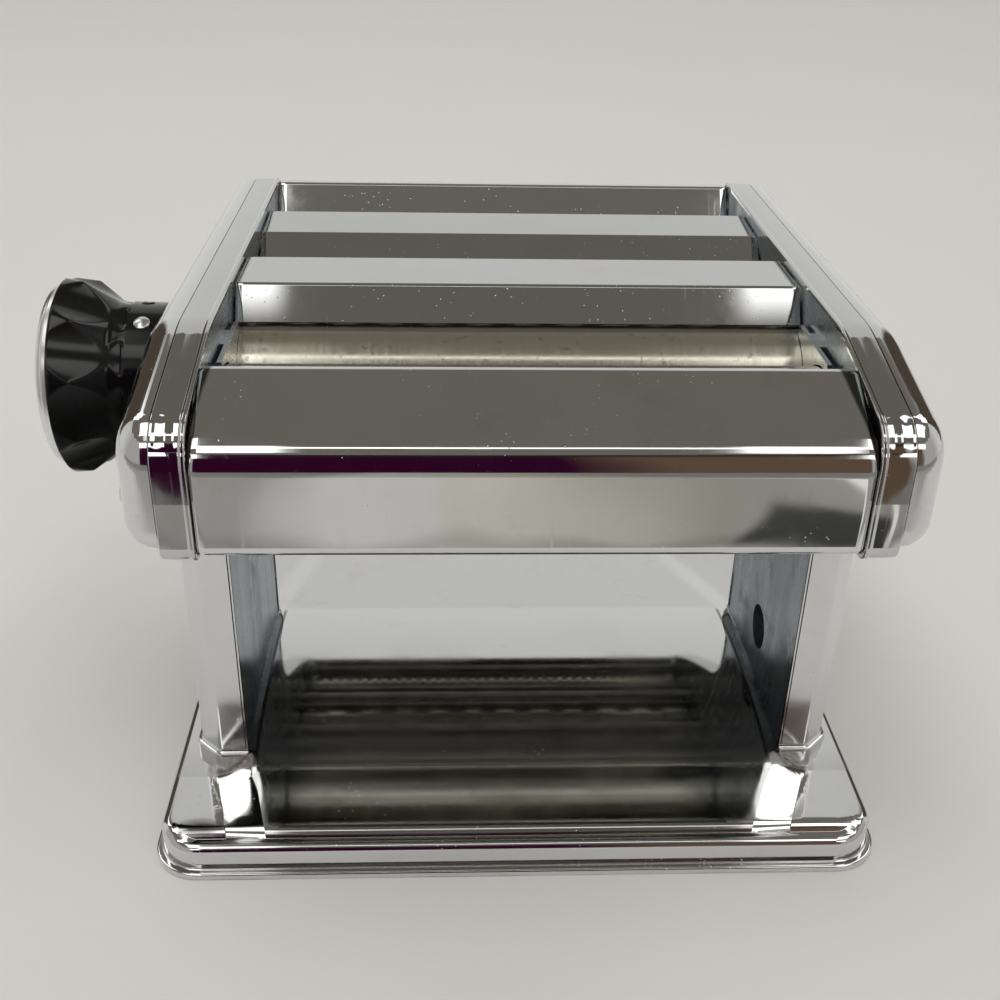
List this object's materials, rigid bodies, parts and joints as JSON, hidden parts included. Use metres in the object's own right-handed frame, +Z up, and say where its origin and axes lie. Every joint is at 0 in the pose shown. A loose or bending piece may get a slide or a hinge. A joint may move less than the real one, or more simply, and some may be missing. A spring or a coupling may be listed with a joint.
{
  "type": "hand cranked pasta machine",
  "caption": "Chromed table-top pasta machine: smooth rollers with a gap knob, wide and narrow cutting rollers, crank sockets, and a pressed base with a clamp hole.",
  "frame": {"origin": "on the table, under the middle of the legs and on the knob's plane", "axes": "+X from the knob to the crank side, +Y to the rear, +Z up"},
  "size_m": [0.2243, 0.1886, 0.143],
  "materials": {
    "chrome": "mirror chrome",
    "zinc": "blue-grey zinc plating",
    "roller": "satin nickel",
    "gear_steel": "cut steel",
    "bronze": "sintered bronze",
    "bright_steel": "bright steel",
    "knob_black": "moulded gloss",
    "cap_silver": "spun satin",
    "rubber": "matt"
  },
  "bodies": {
    "root": {"base_plate": "chrome", "right_rim_shell": "chrome", "left_rim_shell": "chrome", "right_leg_shell": "chrome", "left_leg_shell": "chrome", "right_side_cover": "chrome", "left_side_cover": "chrome", "front_cover": "chrome", "front_ridge": "chrome", "rear_ridge": "chrome", "rear_cover": "chrome", "right_frame_plate": "zinc", "left_frame_plate": "zinc", "clamp_sleeve": "zinc", "stop_ring": "zinc", "smooth_roller_bushes": "bronze", "wide_cutter_bushes": "bronze", "narrow_cutter_bushes": "bronze", "spindle_bush": "bronze", "right_dough_guide": "bright_steel", "left_dough_guide": "bright_steel", "front_scraper": "bright_steel", "wide_front_comb": "bright_steel", "wide_rear_comb": "bright_steel", "narrow_front_comb": "bright_steel", "narrow_rear_comb": "bright_steel", "tie_rods": "bright_steel", "tie_rod_nuts": "bright_steel", "cover_screws": "bright_steel", "foot_screws": "bright_steel", "foot_nuts": "bright_steel", "rubber_pads": "rubber"},
    "adjuster": {"cam_spindle": "bright_steel", "spindle_screw": "bright_steel", "knob_spring": "bright_steel"},
    "knob": {"knob": "knob_black", "knob_cap": "cap_silver", "stop_pin": "bright_steel"},
    "carriage": {"right_slide_block": "zinc", "left_slide_block": "zinc", "carriage_bar": "bright_steel", "cam_follower_pin": "bright_steel", "rear_scraper": "bright_steel"},
    "front_roller": {"front_smooth_roller": "roller", "smooth_front_gear": "gear_steel"},
    "rear_roller": {"rear_smooth_roller": "roller", "smooth_rear_gear": "gear_steel"},
    "wide_front": {"wide_front_cutter": "roller", "wide_front_gear": "gear_steel"},
    "wide_rear": {"wide_rear_cutter": "roller", "wide_rear_gear": "gear_steel"},
    "narrow_front": {"narrow_front_cutter": "roller", "narrow_front_gear": "gear_steel"},
    "narrow_rear": {"narrow_rear_cutter": "roller", "narrow_rear_gear": "gear_steel"}
  },
  "joints": [
    {"name": "knob_turn", "type": "hinge", "parent": "root", "child": "adjuster", "pos_m": [-0.1, 0, 0.1165], "axis": [-1, 0, 0], "range_deg": [0, 270]},
    {"name": "knob_pull", "type": "slide", "parent": "adjuster", "child": "knob", "axis": [-1, 0, 0], "range_m": [0, 0.004], "stiffness_N_per_m": 300, "springref_m": -0.001, "deforming": ["knob_spring"]},
    {"name": "roller_gap", "type": "slide", "parent": "root", "child": "carriage", "axis": [0, 1, 0], "range_m": [0, 0.0024]},
    {"name": "front_roller_spin", "type": "hinge", "parent": "root", "child": "front_roller", "pos_m": [0, -0.029, 0.1165], "axis": [1, 0, 0], "continuous": true},
    {"name": "rear_roller_spin", "type": "hinge", "parent": "carriage", "child": "rear_roller", "pos_m": [0, 0, 0.1165], "axis": [1, 0, 0], "continuous": true},
    {"name": "wide_front_spin", "type": "hinge", "parent": "root", "child": "wide_front", "pos_m": [0, 0.035, 0.1195], "axis": [1, 0, 0], "continuous": true},
    {"name": "wide_rear_spin", "type": "hinge", "parent": "root", "child": "wide_rear", "pos_m": [0, 0.055, 0.1195], "axis": [1, 0, 0], "continuous": true},
    {"name": "narrow_front_spin", "type": "hinge", "parent": "root", "child": "narrow_front", "pos_m": [0, 0.0815, 0.1195], "axis": [1, 0, 0], "continuous": true},
    {"name": "narrow_rear_spin", "type": "hinge", "parent": "root", "child": "narrow_rear", "pos_m": [0, 0.1015, 0.1195], "axis": [1, 0, 0], "continuous": true}
  ],
  "couplings": [
    {"joint": "knob_turn", "follows": "roller_gap", "rad_per_m": 1963.5},
    {"joint": "rear_roller_spin", "follows": "front_roller_spin", "ratio": -1},
    {"joint": "wide_rear_spin", "follows": "wide_front_spin", "ratio": -1},
    {"joint": "narrow_rear_spin", "follows": "narrow_front_spin", "ratio": -1}
  ]
}
